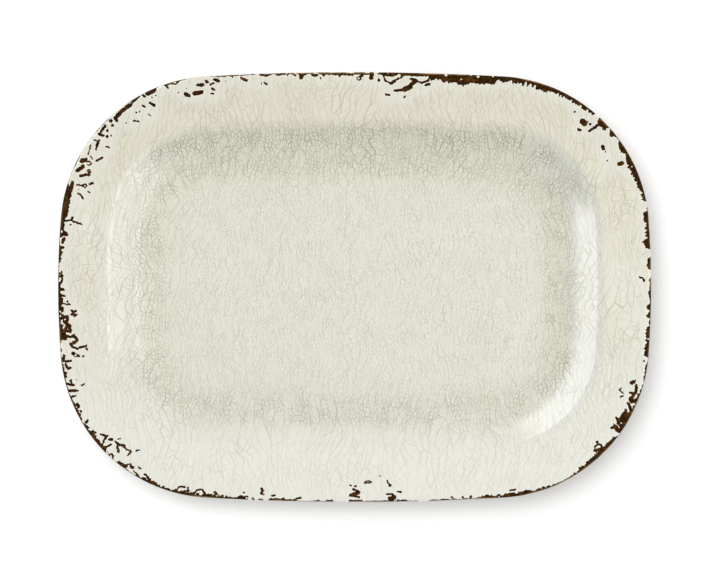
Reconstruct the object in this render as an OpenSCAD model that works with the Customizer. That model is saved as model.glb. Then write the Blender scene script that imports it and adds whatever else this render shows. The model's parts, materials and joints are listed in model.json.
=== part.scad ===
// Large oval-cornered serving platter: a clay dish, a luted foot, a slipped edge and three coats of glaze.
// The plan outline is a closed run of eight tangent arcs: four round corners and four gently bowed sides.
// Every layer is one profile, drawn against its inset from the edge, swept round that outline.

/* [Outline] */
// The steps of these four keep every centre and radius of the outline exact to two decimals.
// Length over the lip, along X
plate_l = 457.2; // [445.2:6:469.2]
// Width over the lip, along Y
plate_w = 331.2; // [323.2:0.8:339.2]
// Radius of the four corners at the lip
corner_r = 119; // [113:6:125]
// How far each long side bows out past its corners
bow_long = 3; // [1:2:5]

/* [Section] */
// Height from the table to the top of the lip
plate_h = 32; // [32:0.5:36]
// Thickness of the fired clay
clay_t = 4.6; // [4.2:0.1:4.8]
// Inset at which the rim turns down into the well
rim_w = 36; // [34:0.5:38]
// Slope of the rim towards the well, in degrees
rim_slope = 4.5; // [4:0.5:5]
// Radius of the shoulder between rim and wall
shoulder_r = 11; // [10:0.5:12]
// Steepest slope of the wall, in degrees
wall_slope = 42; // [40:1:44]
// Radius of the cove between wall and floor
cove_r = 52; // [46:1:52]

/* [Foot] */
// Height of the foot under the floor
foot_h = 4; // [3.5:0.5:4.5]
// Width of the flat that the platter stands on
foot_flat = 4; // [3.5:0.5:4.5]

/* [Coats] */
// Thickness of the brown slip on the edge
slip_t = 0.3; // [0.2:0.05:0.4]
// How far the slip reaches in from the lip, on the face
slip_face = 24; // [18:1:28]
// How far the slip reaches in from the lip, underneath
slip_back = 4; // [3:1:8]
// Thickness of the glaze on the face
face_t = 0.6; // [0.5:0.05:0.7]
// Thickness of the glaze underneath
back_t = 0.5; // [0.4:0.05:0.6]

/* [Hidden] */
$fn = 360;

CLAY = "Tan";
BISCUIT = "Wheat";
SLIP = [0.25, 0.16, 0.08];
GLAZE = [0.87, 0.86, 0.80];

// How far each short side bows out past its corners
bow_short = 1.6;

// Outline: corner centres, and the centres and radii of the bowed sides that run tangent to the corners
corner_x = plate_l / 2 - corner_r - bow_short;
corner_y = plate_w / 2 - corner_r - bow_long;
long_in = (corner_x * corner_x + bow_long * bow_long) / (2 * bow_long);
short_in = (corner_y * corner_y + bow_short * bow_short) / (2 * bow_short);
long_r = long_in + corner_r;
short_r = short_in + corner_r;
long_centre = plate_w / 2 - long_r;
short_centre = plate_l / 2 - short_r;
long_half = asin(corner_x / long_in);
short_half = asin(corner_y / short_in);

// Section: u runs in from the edge and z runs up. The lip is round, centred at [nose_u, nose_z].
nose_r = clay_t / 2;
nose_u = nose_r + slip_t;
nose_z = plate_h - nose_r - face_t;
rim_dir = [cos(rim_slope), -sin(rim_slope)];
rim_up = [sin(rim_slope), cos(rim_slope)];
rim_start = [nose_u, nose_z] + nose_r * rim_up;
rim_run = (rim_w - rim_start[0]) / rim_dir[0];
rim_end = rim_start + rim_run * rim_dir;
shoulder_c = rim_end - shoulder_r * rim_up;
wall_up = [sin(wall_slope), cos(wall_slope)];
shoulder_end = shoulder_c + shoulder_r * wall_up;
floor_z = foot_h + clay_t;
cove_top_z = floor_z + cove_r * (1 - cos(wall_slope));
wall_du = (shoulder_end[1] - cove_top_z) / tan(wall_slope);
cove_c = [shoulder_end[0] + wall_du + cove_r * sin(wall_slope), floor_z + cove_r];

// Ends of the lines that part each side from its corners. Each runs from the side's centre through the
// corner's centre and on past the lip, by this share of the way between the two centres.
LONG_REACH = 0.08;
SHORT_REACH = 0.24;
long_ray = [corner_x, corner_y] + LONG_REACH * [corner_x, long_in - bow_long];
short_ray = [corner_x, corner_y] + SHORT_REACH * [short_in - bow_short, corner_y];

// Degrees that a turned side and a turned corner overrun those lines before they are cut
SIDE_OVERRUN = 1;
CORNER_OVERRUN = 10;
long_sweep = long_half + SIDE_OVERRUN;
short_sweep = short_half + SIDE_OVERRUN;
// How far a side's section runs past the corners' centres into the flat middle, in bows
MIDDLE_LAP = 2;

// Section points lie on this grid, and each round stretch is this many straight steps.
// The face glaze stops a few steps round the lip, where the slip is left bare.
GRID = 0.01;
NOSE_STEPS = 12;
glazed_steps = 4;
SHOULDER_STEPS = 10;
COVE_STEPS = 12;
cove_step = wall_slope / COVE_STEPS;

// Foot: its outer root is this many steps up the cove, and its inner root is this far in on the flat
foot_root = 2;
foot_root_in = 1;
foot_round = 1.2;
ROUND_STEPS = 5;

// Points round the lip at a distance up from the clay: step 0 is on the face and the last is underneath
function nose(up, last = NOSE_STEPS) =
    [for (i = [0:last])
        let (a = 90 - rim_slope + 180 * i / NOSE_STEPS)
        [nose_u, nose_z] + (nose_r + up) * [cos(a), sin(a)]];

// A point on the rim's flat, at a run in from where the lip ends
function rim_point(up, run) = rim_start + up * rim_up + run * rim_dir;

// The same on the underside of the rim
function back_point(down, run) = [nose_u, nose_z] - (nose_r + down) * rim_up + run * rim_dir;

function shoulder(up) =
    [for (i = [0:SHOULDER_STEPS])
        let (a = rim_slope + (wall_slope - rim_slope) * i / SHOULDER_STEPS)
        shoulder_c + (shoulder_r + up) * [sin(a), cos(a)]];

// The cove from the wall down to step `last` above the floor; step 0 is the floor's edge
function cove(up, last = 0) =
    [for (i = [COVE_STEPS:-1:last])
        let (a = i * cove_step)
        cove_c - (cove_r - up) * [sin(a), cos(a)]];

function reversed(v) = [for (i = [len(v) - 1:-1:0]) v[i]];

// Height of the underside's cove, at a depth below the clay, for an inset u
function under_cove_z(u, down) =
    cove_c[1] - sqrt(pow(cove_r + clay_t + down, 2) - pow(cove_c[0] - u, 2));

foot_outer = cove_c - (cove_r + clay_t) * [sin(foot_root * cove_step), cos(foot_root * cove_step)];
foot_inner = [cove_c[0] + foot_root_in, foot_h];
foot_mid = (foot_outer[0] + foot_inner[0]) / 2;

// The foot's rounded bottom edge, outside (side = -1) or inside (side = 1), from its draft to its flat
function foot_edge(side) =
    [for (i = [0:ROUND_STEPS])
        let (a = 90 * i / ROUND_STEPS)
        [foot_mid + side * (foot_flat / 2 + foot_round * cos(a)), foot_round * (1 - sin(a))]];
foot_out_low = foot_edge(-1)[0];
foot_in_low = foot_edge(1)[0];

clay_section = function (middle) concat(
    reversed(nose(0)),
    shoulder(0),
    cove(0),
    [[middle, floor_z], [middle, foot_h]],
    reversed(cove(-clay_t)),
    reversed(shoulder(-clay_t)));

foot_section = function (middle) concat(
    [foot_inner, [cove_c[0], foot_h]],
    [for (i = [1:foot_root]) cove_c - (cove_r + clay_t) * [sin(i * cove_step), cos(i * cove_step)]],
    foot_edge(-1),
    reversed(foot_edge(1)));

slip_section = function (middle) concat(
    [back_point(0, slip_back), back_point(slip_t, slip_back)],
    reversed(nose(slip_t)),
    [rim_point(slip_t, slip_face), rim_point(0, slip_face)],
    nose(0));

face_section = function (middle) concat(
    nose(slip_t, glazed_steps),
    reversed(nose(face_t, glazed_steps)),
    shoulder(face_t),
    cove(face_t),
    [[middle, floor_z + face_t], [middle, floor_z]],
    reversed(cove(0)),
    reversed(shoulder(0)),
    [rim_point(0, slip_face), rim_point(slip_t, slip_face)]);

back_section = function (middle) concat(
    [back_point(0, slip_back), back_point(back_t, slip_back)],
    shoulder(-clay_t - back_t),
    cove(-clay_t - back_t, foot_root + 1),
    [[foot_outer[0] - back_t, under_cove_z(foot_outer[0] - back_t, back_t)],
        foot_out_low - [back_t, 0],
        foot_out_low,
        foot_outer],
    reversed(cove(-clay_t, foot_root + 1)),
    reversed(shoulder(-clay_t)));

base_section = function (middle) [foot_inner, [middle, foot_h], [middle, foot_h - back_t],
    foot_inner + [back_t, -back_t], foot_in_low + [back_t, 0], foot_in_low];

// Section points on a grid, so that a profile is the same at every radius it is turned at
function on_grid(section) = [for (p = section) [round(p[0] / GRID) * GRID, round(p[1] / GRID) * GRID]];

// One stretch of the outline: a profile turned about the stretch's own centre
module turned(centre, r, from, to, section) {
    translate(centre)
        rotate_extrude(angle = to - from, start = from)
            polygon([for (p = section) [r - p[0], p[1]]]);
}

// A quarter of the way round there are three stretches: half a long side, a corner and half a short side.
// They are cut apart on the lines that run from the sides' centres through the corner's centre.
module long_side(section) {
    intersection() {
        turned([0, long_centre, 0], long_r, 90 - long_sweep, 90 + long_sweep, section);
        prism([[-corner_x, corner_y], [corner_x, corner_y], long_ray, [-long_ray[0], long_ray[1]]]);
    }
}

module short_side(section) {
    intersection() {
        turned([short_centre, 0, 0], short_r, -short_sweep, short_sweep, section);
        prism([[corner_x, corner_y], [corner_x, -corner_y], [short_ray[0], -short_ray[1]], short_ray]);
    }
}

module corner(section) {
    intersection() {
        turned([corner_x, corner_y, 0], corner_r, -CORNER_OVERRUN, 90 + CORNER_OVERRUN, section);
        prism([[corner_x, corner_y], short_ray, [short_ray[0], long_ray[1]], long_ray]);
    }
}

// An upright prism that is taller than the platter at both ends
module prism(points) {
    translate([0, 0, -plate_h])
        linear_extrude(plate_h + 2 * plate_h)
            polygon(points);
}

// A whole section swept round the outline
module swept(section) {
    for (side = [0, 1]) {
        mirror([0, side, 0]) long_side(on_grid(section(corner_r + MIDDLE_LAP * bow_long)));
        mirror([side, 0, 0]) short_side(on_grid(section(corner_r + MIDDLE_LAP * bow_short)));
        for (end = [0, 1])
            mirror([end, 0, 0]) mirror([0, side, 0]) corner(on_grid(section(corner_r)));
    }
}

// The flat middle, between the four corners' centres
module slab(z0, z1) {
    translate([-corner_x, -corner_y, z0])
        cube([2 * corner_x, 2 * corner_y, z1 - z0]);
}

module clay_body() {
    color(CLAY) {
        swept(clay_section);
        slab(foot_h, floor_z);
    }
}

module foot_ring() {
    color(BISCUIT) swept(foot_section);
}

module edge_slip() {
    color(SLIP) swept(slip_section);
}

module face_glaze() {
    color(GLAZE) {
        swept(face_section);
        slab(floor_z, floor_z + face_t);
    }
}

module rim_back_glaze() {
    color(GLAZE) swept(back_section);
}

module base_glaze() {
    color(GLAZE) {
        swept(base_section);
        slab(foot_h - back_t, foot_h);
    }
}

clay_body();
foot_ring();
edge_slip();
face_glaze();
rim_back_glaze();
base_glaze();
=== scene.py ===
"""Looks of the serving platter: a crackle glaze broken over a brown edge, a plain glazed back, a bare foot.

Lengths are in millimetres until a mesh is made. A point of the platter is given by s, its way round the edge,
anticlockwise from the middle of the right side, and w, its way in over the clay from the lip's outer line.
"""
import json
import math

import bpy
import numpy as np
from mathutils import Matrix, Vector
from mathutils.geometry import delaunay_2d_cdt

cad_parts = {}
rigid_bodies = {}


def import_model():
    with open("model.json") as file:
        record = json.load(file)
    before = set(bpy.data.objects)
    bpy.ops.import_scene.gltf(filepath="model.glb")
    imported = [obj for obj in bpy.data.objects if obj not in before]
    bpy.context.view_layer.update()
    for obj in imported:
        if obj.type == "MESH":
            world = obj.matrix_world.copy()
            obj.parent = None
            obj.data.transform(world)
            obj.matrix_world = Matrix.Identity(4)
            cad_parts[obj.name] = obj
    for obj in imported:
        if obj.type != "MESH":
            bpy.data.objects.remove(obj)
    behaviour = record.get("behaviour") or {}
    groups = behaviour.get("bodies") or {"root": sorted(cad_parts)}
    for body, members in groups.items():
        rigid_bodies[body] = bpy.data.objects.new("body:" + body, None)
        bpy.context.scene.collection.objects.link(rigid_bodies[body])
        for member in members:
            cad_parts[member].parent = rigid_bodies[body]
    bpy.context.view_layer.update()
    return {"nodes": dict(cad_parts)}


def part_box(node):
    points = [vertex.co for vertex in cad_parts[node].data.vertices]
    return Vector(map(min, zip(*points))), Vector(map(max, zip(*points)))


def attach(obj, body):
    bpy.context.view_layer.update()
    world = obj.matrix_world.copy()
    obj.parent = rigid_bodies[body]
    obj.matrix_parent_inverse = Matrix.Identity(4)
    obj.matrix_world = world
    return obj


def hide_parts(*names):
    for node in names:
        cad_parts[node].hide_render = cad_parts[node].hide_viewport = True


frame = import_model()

MM = 0.001

# ---------------------------------------------------------------- outline

low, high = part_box("edge_slip")
LENGTH, WIDTH = (round((high[i] - low[i]) / MM, 1) for i in (0, 1))
TOP = round(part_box("face_glaze")[1].z / MM, 1)
CORNER_R, BOW_LONG, BOW_SHORT = 119.0, 3.0, 1.6
CORNER_X = LENGTH / 2 - CORNER_R - BOW_SHORT
CORNER_Y = WIDTH / 2 - CORNER_R - BOW_LONG


def outline_arcs():
    """The outline as nine arcs: centre x and y, radius, first and last angle."""
    long_in = (CORNER_X**2 + BOW_LONG**2) / (2 * BOW_LONG)
    short_in = (CORNER_Y**2 + BOW_SHORT**2) / (2 * BOW_SHORT)
    long_r, short_r = long_in + CORNER_R, short_in + CORNER_R
    up, side = WIDTH / 2 - long_r, LENGTH / 2 - short_r
    a, b = math.asin(CORNER_X / long_in), math.asin(CORNER_Y / short_in)
    x, y, quarter, half, full = CORNER_X, CORNER_Y, math.pi / 2, math.pi, math.tau
    return np.array([
        (side, 0, short_r, 0, b),
        (x, y, CORNER_R, b, quarter - a),
        (0, up, long_r, quarter - a, quarter + a),
        (-x, y, CORNER_R, quarter + a, half - b),
        (-side, 0, short_r, half - b, half + b),
        (-x, -y, CORNER_R, half + b, half + quarter - a),
        (0, -up, long_r, half + quarter - a, half + quarter + a),
        (x, -y, CORNER_R, half + quarter + a, full - b),
        (side, 0, short_r, full - b, full),
    ])


ARCS = outline_arcs()
STARTS = np.concatenate([[0], np.cumsum((ARCS[:, 4] - ARCS[:, 3]) * ARCS[:, 2])])
ROUND = STARTS[-1]


def place(s, u):
    """Plan x and y at s, for an inset u from the edge."""
    s = np.mod(s, ROUND)
    k = np.clip(np.searchsorted(STARTS, s, side="right") - 1, 0, len(ARCS) - 1)
    cx, cy, r, start, _ = np.moveaxis(ARCS[k], -1, 0)
    a = start + (s - STARTS[k]) / r
    return cx + (r - u) * np.cos(a), cy + (r - u) * np.sin(a)


def locate(x, y):
    """The s and the inset of a plan point on the rim, wall or outer floor."""
    x, y = np.asarray(x, float), np.asarray(y, float)
    s, u = np.zeros(x.shape), np.full(x.shape, 999.0)
    for start, (cx, cy, r, a0, a1) in zip(STARTS, ARCS):
        a = np.mod(np.arctan2(y - cy, x - cx) - a0 + 1e-9, math.tau)
        inset = r - np.hypot(x - cx, y - cy)
        here = (a <= a1 - a0 + 1e-8) & (inset < CORNER_R + 8) & (inset < u)
        s, u = np.where(here, start + a * r, s), np.where(here, inset, u)
    return s, u


# ---------------------------------------------------------------- sections

class Chain:
    """A section of straight and round stretches, each (length, turn in degrees, positive to the left)."""

    def __init__(self, u, z, heading, stretches, zero=0.0, side=1):
        self.side, self.ends = side, np.concatenate([[0], np.cumsum([q for q, _ in stretches])]) - zero
        self.turn = np.array([math.radians(t) / q for q, t in stretches])
        self.u, self.z, self.h = [u], [z], [math.radians(heading)]
        for (length, _), k in zip(stretches, self.turn):
            du, dz = self.step(np.float64(length), self.h[-1], k)
            self.u.append(self.u[-1] + du)
            self.z.append(self.z[-1] + dz)
            self.h.append(self.h[-1] + k * length)
        self.u, self.z, self.h = map(np.array, (self.u, self.z, self.h))

    @staticmethod
    def step(d, h, k):
        bent = np.where(np.abs(k) > 1e-9, k, 1e-9)
        return (np.sin(h + bent * d) - np.sin(h)) / bent, (np.cos(h) - np.cos(h + bent * d)) / bent

    def at(self, w):
        """u, z and the outward normal at a distance w along."""
        i = np.clip(np.searchsorted(self.ends, w, side="right") - 1, 0, len(self.turn) - 1)
        d, k, h = w - self.ends[i], self.turn[i], self.h[i]
        du, dz = self.step(d, h, k)
        a = h + k * d
        return self.u[i] + du, self.z[i] + dz, -self.side * np.sin(a), self.side * np.cos(a)


CLAY_T, SLIP_T, FACE_T, BACK_T = 4.6, 0.3, 0.6, 0.5
SLOPE, WALL = 4.5, 42.0
RIM_W, SHOULDER_R, COVE_R, FLOOR_Z = 36.0, 11.0, 52.0, 8.6
NOSE_R = CLAY_T / 2
NOSE_U, NOSE_Z = NOSE_R + SLIP_T, TOP - NOSE_R - FACE_T


def arc_run(radius, degrees):
    return radius * math.radians(degrees)


def face_chain():
    rim_u = NOSE_U + NOSE_R * math.sin(math.radians(SLOPE))
    rim_z = NOSE_Z + NOSE_R * math.cos(math.radians(SLOPE))
    rim = (RIM_W - rim_u) / math.cos(math.radians(SLOPE))
    bend = SHOULDER_R * (math.cos(math.radians(SLOPE)) - math.cos(math.radians(WALL)))
    shoulder_z = rim_z - rim * math.sin(math.radians(SLOPE)) - bend
    drop = shoulder_z - FLOOR_Z - COVE_R * (1 - math.cos(math.radians(WALL)))
    wall = drop / math.sin(math.radians(WALL))
    back = 10.0
    nose = arc_run(NOSE_R, 180)
    under = arc_run(NOSE_R, 90 - SLOPE)
    a = math.radians(SLOPE)
    u0 = NOSE_U - NOSE_R * math.sin(a) + back * math.cos(a)
    z0 = NOSE_Z - NOSE_R * math.cos(a) - back * math.sin(a)
    stretches = [(back, 0), (nose, -180), (rim, 0), (arc_run(SHOULDER_R, WALL - SLOPE), SLOPE - WALL),
                 (wall, 0), (arc_run(COVE_R, WALL), WALL), (60.0, 0)]
    top = Chain(u0, z0, 180 - SLOPE, stretches, zero=back + under)
    u1, z1 = NOSE_U - NOSE_R * math.sin(a), NOSE_Z - NOSE_R * math.cos(a)
    below = [(rim, 0), (arc_run(SHOULDER_R - CLAY_T, WALL - SLOPE), SLOPE - WALL), (wall, 0),
             (arc_run(COVE_R + CLAY_T, WALL), WALL), (60.0, 0)]
    return top, Chain(u1, z1, -SLOPE, below, side=-1)


TOP_CHAIN, BACK_CHAIN = face_chain()
NOSE_END = -arc_run(NOSE_R, 90 - SLOPE)     # w where the lip's round ends underneath
RIM_START = arc_run(NOSE_R, 90 + SLOPE)     # and where it ends on the face
RIM_END, SHOULDER_END, WALL_END, COVE_END = TOP_CHAIN.ends[3:7]
WELL_U = 84.0
WELL_W = COVE_END + WELL_U - TOP_CHAIN.u[6]


# ---------------------------------------------------------------- noise

def noise(x, y, seed, period=0):
    """Smooth noise from about -1 to 1. With a period, it repeats after that many units of x."""
    xi, yi = np.floor(x).astype(np.int64), np.floor(y).astype(np.int64)
    fx, fy = x - xi, y - yi

    def corner(i, j):
        gx, gy = xi + i, yi + j
        if period:
            gx = gx % period
        h = (gx * 374761393 + gy * 668265263 + seed * 974634777) & 0xFFFFFFFF
        h = ((h ^ (h >> 13)) * 1274126177) & 0xFFFFFFFF
        a = (((h ^ (h >> 16)) & 0xFFFF) / 65536.0) * math.tau
        return np.cos(a) * (fx - i) + np.sin(a) * (fy - j)

    def ease(t):
        return t * t * t * (t * (t * 6 - 15) + 10)

    a, b = ease(fx), ease(fy)
    first = corner(0, 0) * (1 - a) + corner(1, 0) * a
    second = corner(0, 1) * (1 - a) + corner(1, 1) * a
    return 1.5 * (first * (1 - b) + second * b)


def swell(x, y):
    """The slow unevenness of the fired clay, in millimetres."""
    return 0.10 * noise(x / 85 + 3, y / 85, 5) + 0.035 * noise(x / 31, y / 31 + 7, 6)


# ---------------------------------------------------------------- surfaces

def crease(w):
    """How far the face stands proud just outside the shoulder and dips just inside it, in millimetres."""
    proud, dip = 0.35, 0.45

    def ease(a, b):
        f = np.clip((w - RIM_END - a) / (b - a), 0, 1)
        return f * f * (3 - 2 * f)

    return proud * ease(-12, -1) - (proud + dip) * ease(-1, 4) + dip * ease(4, 22)


def surface(chain, s, w, t):
    """Points on a coat of thickness t."""
    u, z, nu, nz = chain.at(w)
    x, y = place(s, u)
    t = t + swell(x, y)
    if chain is TOP_CHAIN:
        t = t + crease(w)
    x, y = place(s, u + nu * t)
    return np.stack([x, y, z + nz * t], -1)


def normals(chain, s, w, t):
    e = 0.05
    ds = surface(chain, s + e, w, t) - surface(chain, s - e, w, t)
    dw = surface(chain, s, w + e, t) - surface(chain, s, w - e, t)
    n = np.cross(ds, dw) * chain.side
    return n / np.linalg.norm(n, axis=-1, keepdims=True)


def make(name, points, faces, normal, material, node, slot, **values):
    """A piece on the platter's one body, with smooth normals and a number at each vertex for its material."""
    mesh = bpy.data.meshes.new(name)
    mesh.from_pydata((points * MM).tolist(), [], faces)
    mesh.polygons.foreach_set("use_smooth", [True] * len(mesh.polygons))
    for key, value in values.items():
        layer = mesh.attributes.new(key, "FLOAT", "POINT")
        layer.data.foreach_set("value", np.broadcast_to(value, len(points)).astype(np.float32))
    mesh.materials.append(material)
    mesh.validate()
    mesh.normals_split_custom_set_from_vertices(normal.tolist())
    mesh.update()
    piece = bpy.data.objects.new(name, mesh)
    bpy.context.scene.collection.objects.link(piece)
    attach(piece, "root")
    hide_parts(node)
    return piece


def grid_faces(rows, columns, flip=False):
    """Quads between rows of points that close on themselves."""
    r, c = np.meshgrid(np.arange(rows - 1), np.arange(columns), indexing="ij")
    d = (c + 1) % columns
    quads = np.stack([r * columns + c, r * columns + d, (r + 1) * columns + d, (r + 1) * columns + c], -1)
    quads = quads.reshape(-1, 4)
    return (quads[:, ::-1] if flip else quads).tolist()


def spaced(stops):
    """Distances from one stop to the next at each stop's own step: (start, step), ..., (end, None)."""
    out = []
    for (a, step), (b, _) in zip(stops, stops[1:]):
        out += list(np.linspace(a, b, max(1, round(abs(b - a) / step)), endpoint=False))
    return np.array(out + [stops[-1][0]])


COLUMNS = 682
S_COLUMNS = np.arange(COLUMNS) * ROUND / COLUMNS

# ---------------------------------------------------------------- where the glaze has broken

# The bare band along the lip, going round: plan x and y beside it, its width from above, and its raggedness.
# A width below zero is a stretch where the glaze still wraps the lip.
BAND = [
    (228, 0, 2.0, 0.8), (228, 6.5, 2.0, 0.8), (228, 8.5, -1, 0.3), (228, 12.5, -1, 0.3),
    (228, 14, 2.6, 1.0), (228, 18, 3.9, 1.4), (228, 22, 3.0, 1.2), (228, 24, -1, 0.3), (228, 28, -1, 0.3),
    (227, 30, 4.0, 2.2), (227, 35, 5.0, 2.6), (226, 38, 3.0, 3.0), (226, 45, 3.0, 3.0),
    (226, 49, 3.2, 3.2), (225, 60, 2.8, 3.0), (224, 61.5, -1, 0.4), (223, 64.5, -1, 0.4),
    (222, 67, 2.6, 2.4), (220, 78, 3.4, 2.6), (217, 87, 4.6, 2.2), (213, 96, 5.4, 2.0),
    (210, 101.5, 3.4, 1.6), (207, 107, 4.0, 1.8), (204.5, 111.5, 3.2, 1.6), (203.5, 113, 0.8, 0.8),
    (199, 118, 3.4, 1.4), (196.7, 121, 3.0, 1.6), (195.6, 122.4, 0.3, 0.5), (194.5, 124, 5.4, 1.4),
    (189.5, 130, 4.6, 1.4), (188.4, 131, -1, 0.3), (186, 133, -1, 0.3), (184.5, 134, 2.6, 1.6),
    (172, 144, 3.6, 2.4), (160, 151.5, 4.2, 2.8), (148, 156.5, 4.4, 2.8), (132, 160.5, 4.4, 2.8),
    (118, 163, 4.2, 2.4), (110.6, 164, 3.4, 1.8), (108, 164.2, 6.6, 1.6), (97, 164.8, 6.8, 1.4),
    (92, 165, 5.6, 1.4), (85.5, 165.2, 8.8, 1.6), (80, 165.3, 8.6, 1.6), (78.5, 165.3, 6.8, 1.4),
    (68, 165.5, 6.6, 1.4), (66, 165.5, 4.4, 1.2), (62.5, 165.6, 4.6, 1.0), (58.6, 165.6, 6.0, 1.0),
    (57.6, 165.6, 0.8, 0.6), (20, 165.6, 0.8, 0.6), (18, 165.6, -1, 0.2), (-27, 165.6, -1, 0.2),
    (-28, 165.6, 0.4, 0.5), (-44, 165.6, 0.5, 0.6), (-46, 165.6, -1, 0.2), (-58, 165.6, -1, 0.2),
    (-60, 165.6, 0.5, 0.6), (-66, 165.5, 0.3, 0.6), (-70, 165.5, -1, 0.2), (-78, 165.4, -0.6, 0.2),
    (-82, 165.3, 0.8, 0.4), (-104, 164.4, 1.2, 0.8), (-110, 164, 0.4, 0.3), (-113, 163.6, -0.8, 0.2),
    (-127, 161.6, -0.8, 0.2), (-131, 160.6, 0.8, 0.3), (-146, 157, 0.9, 0.5), (-149, 155.8, -0.6, 0.3),
    (-152, 154, 0.4, 0.3), (-160, 151, 0.8, 0.5), (-164, 148.5, -0.4, 0.3), (-167, 146.5, 1.5, 0.5),
    (-171, 143.5, 1.2, 0.4), (-176, 140, -0.2, 0.3), (-186, 132.6, -0.2, 0.3), (-190, 129, 0.7, 0.4),
    (-199, 120, 0.8, 0.4), (-202, 116, -0.8, 0.2), (-209, 106, -0.8, 0.2), (-212, 101, 0.7, 0.4),
    (-215, 94, 0.9, 0.5), (-217, 88, 0.3, 0.3), (-220, 80, 0.6, 0.5), (-221, 77, 3.4, 1.2),
    (-222.4, 71.5, 5.0, 1.4), (-223.5, 67, 5.6, 1.6), (-225, 58, 5.4, 1.8), (-226, 53, 4.0, 1.4),
    (-227, 45.6, 3.0, 1.2), (-227.6, 40, 3.4, 1.8), (-228, 37.5, 0.8, 0.8), (-228.2, 33, 1.2, 1.0),
    (-228.3, 27, 3.0, 1.6), (-228.4, 21.5, 1.8, 1.4), (-228.5, 14, 1.0, 1.4), (-228.5, 4, 2.0, 1.8),
    (-228.5, -3, 2.6, 2.0), (-228.5, -13, 3.4, 2.4), (-228.5, -19, 1.4, 1.6), (-228.4, -26, 2.4, 2.0),
    (-228.3, -31, 3.2, 2.4), (-228, -36, 4.8, 2.0), (-227.8, -40, 3.6, 1.8), (-227.6, -42, 0.3, 0.4),
    (-227, -51, 0.3, 0.6), (-226, -55, 1.4, 1.4), (-225, -62, 2.2, 1.8), (-223.5, -68, 3.6, 1.8),
    (-222.6, -72, 1.4, 1.2), (-221, -77, 1.8, 1.2), (-219.5, -82, 0.8, 0.6), (-217, -90, 2.2, 1.2),
    (-212, -99, 2.6, 1.4), (-209, -104, 1.0, 0.8), (-206, -108.5, 3.0, 1.2), (-199, -118, 3.4, 1.4),
    (-192.5, -125.6, 3.6, 1.4), (-191, -127.2, 0.4, 0.5), (-183.5, -134, 0.4, 0.5),
    (-181.5, -136, 1.6, 0.8), (-176, -140.2, 1.0, 0.8), (-170, -144, 0.4, 0.8), (-165, -147, 1.6, 1.2),
    (-155, -151.6, 3.0, 1.6), (-146, -155.4, 2.2, 1.4), (-137, -158.6, 2.4, 1.6), (-124, -161.4, 2.8, 1.8),
    (-110, -163.4, 2.8, 1.8), (-97, -164.6, 2.2, 1.6), (-90, -165, 1.6, 1.0), (-83, -165.2, 1.0, 0.6),
    (-81, -165.3, -0.6, 0.2), (-67, -165.5, -0.6, 0.2), (-65, -165.5, 2.2, 0.6), (-46, -165.6, 1.8, 0.8),
    (-44, -165.6, 0.4, 0.4), (-34, -165.6, 0.4, 0.4), (-30, -165.6, 0.6, 0.6), (-16, -165.6, 0.3, 0.5),
    (-12, -165.6, -0.6, 0.2), (-5, -165.6, -0.2, 0.2), (-3, -165.6, 1.6, 0.6), (5, -165.6, 1.4, 0.6),
    (7, -165.6, 0.3, 0.3), (10, -165.6, 1.0, 0.4), (30, -165.6, 1.0, 0.6), (33, -165.6, 0.3, 0.6),
    (48, -165.6, 0.6, 0.6), (50, -165.6, -0.6, 0.2), (56, -165.6, -0.6, 0.2), (58, -165.6, 0.9, 0.7),
    (72, -165.5, 0.9, 0.7), (76, -165.4, 0.4, 0.5), (92, -165, 1.2, 0.8), (98, -164.8, 2.6, 1.2),
    (106, -164.4, 2.8, 1.4), (112, -163.8, 1.2, 0.8), (115, -161.6, 3.0, 1.2), (121, -160.2, 3.6, 1.2),
    (133.5, -157.8, 3.0, 1.2), (142.8, -155.5, 2.0, 1.4), (150.5, -153.2, 2.2, 1.6), (155, -151, 1.1, 0.5),
    (165, -145.4, 1.2, 0.5), (168.2, -143.2, 1.6, 0.9), (175, -138.6, 3.2, 1.8), (182, -133.2, 3.6, 1.8),
    (188.2, -127, 3.4, 2.0), (192.8, -121.7, 3.2, 1.2), (198.2, -114.6, 3.0, 1.0),
    (199.8, -112.6, 0.4, 0.5), (200.8, -111, 0.4, 0.5), (202, -107.8, 4.4, 2.2), (205.9, -100, 4.2, 2.4),
    (210.5, -91, 2.6, 2.4), (215, -83, 2.0, 1.8), (219.8, -75.5, 0.8, 1.2), (223.6, -67.8, 1.0, 1.4),
    (225, -60.5, 1.6, 1.4), (225.7, -57.5, 0.3, 0.5), (226, -54.5, 0.4, 0.5), (226.2, -53, 3.4, 1.6),
    (228, -31, 3.2, 1.4), (228.1, -30, 0.4, 0.4), (228.2, -28.6, 2.0, 1.0), (228.3, -26, 1.4, 0.8),
    (228.4, -24.6, 0.3, 0.4), (228.4, -23.4, 3.4, 1.8), (228.5, -14.4, 3.4, 1.6), (228.5, -12.4, 1.2, 0.8),
    (228.6, -6, 2.2, 0.9),
]

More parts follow.
